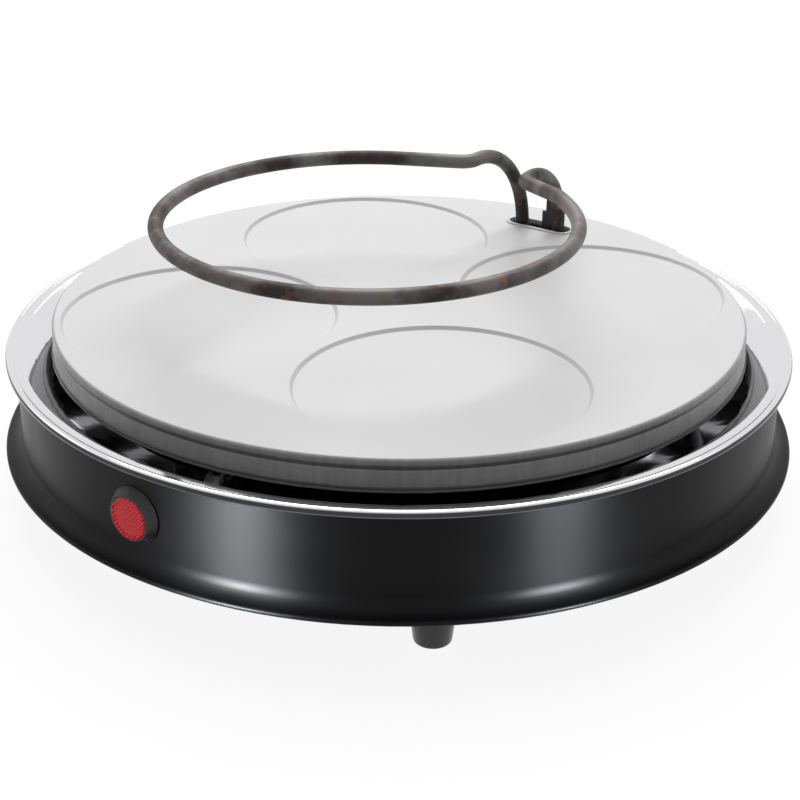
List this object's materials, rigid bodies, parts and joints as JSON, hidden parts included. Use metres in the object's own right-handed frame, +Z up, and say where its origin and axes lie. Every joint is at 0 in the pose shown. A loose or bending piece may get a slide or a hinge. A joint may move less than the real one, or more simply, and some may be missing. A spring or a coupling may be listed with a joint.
{
  "type": "electric pizza oven",
  "caption": "Round electric tabletop pizza oven base with a loose baking plate, a heating loop above it, another below, a polished reflector pan and short feet",
  "frame": {"origin": "On the bench, under the centre of the round base", "axes": "+Z up; -Y is the front, where the pilot lamp is; +Y is the back, where the legs of the heating loop stand"},
  "size_m": [0.347, 0.347, 0.1232],
  "materials": {
    "black_enamel": "satin black enamel on steel",
    "polished_pan": "bright, mirror-like plated steel",
    "plate_coating": "light grey satin",
    "element_sheath": "heat-tinted steel sheath",
    "steel_fittings": "zinc-plated steel",
    "fasteners": "zinc-plated steel",
    "black_bracket": "black",
    "black_foot_moulding": "gloss black",
    "black_moulding": "satin black",
    "red_lens": "clear red with a fine pattern of facets",
    "lamp_glass": "clear glass with a neon glow",
    "ceramic": "unglazed off-white ceramic",
    "thermostat_body": "dark phenolic",
    "terminal_brass": "plain",
    "lead_sleeving": "woven glass sleeving",
    "earth_sleeving": "green and yellow"
  },
  "bodies": {
    "base": {"housing_wall": "black_enamel", "bottom_cover": "black_enamel", "reflector_pan": "polished_pan", "upper_heating_element": "element_sheath", "lower_heating_element": "element_sheath", "upper_element_flange": "steel_fittings", "lower_element_flange": "steel_fittings", "element_rests": "steel_fittings", "plate_posts": "steel_fittings", "tie_posts": "steel_fittings", "flange_screws": "fasteners", "flange_nuts": "fasteners", "post_nuts": "fasteners", "cover_screws": "fasteners", "foot_screws": "fasteners", "foot_nuts": "fasteners", "block_screws": "fasteners", "thermostat_screws": "fasteners", "thermostat_nuts": "fasteners", "earth_screw": "fasteners", "earth_nut": "fasteners", "lamp_clip": "fasteners", "element_bracket": "black_bracket", "foot_front_left": "black_foot_moulding", "foot_front_right": "black_foot_moulding", "foot_rear_left": "black_foot_moulding", "foot_rear_right": "black_foot_moulding", "lamp_bezel": "black_moulding", "cable_gland": "black_moulding", "gland_nut": "black_moulding", "lamp_lens": "red_lens", "lamp_bulb": "lamp_glass", "element_insulators": "ceramic", "terminal_block": "ceramic", "thermostat": "thermostat_body", "element_terminals": "terminal_brass", "thermostat_terminals": "terminal_brass", "lamp_pins": "terminal_brass", "earth_tag": "terminal_brass", "element_leads": "lead_sleeving", "lamp_leads": "lead_sleeving", "earth_lead": "earth_sleeving"},
    "plate": {"baking_plate": "plate_coating"}
  },
  "joints": [
    {"name": "plate_lift", "type": "slide", "parent": "base", "child": "plate", "axis": [0, 0, 1], "range_m": [0, 0.007]}
  ]
}
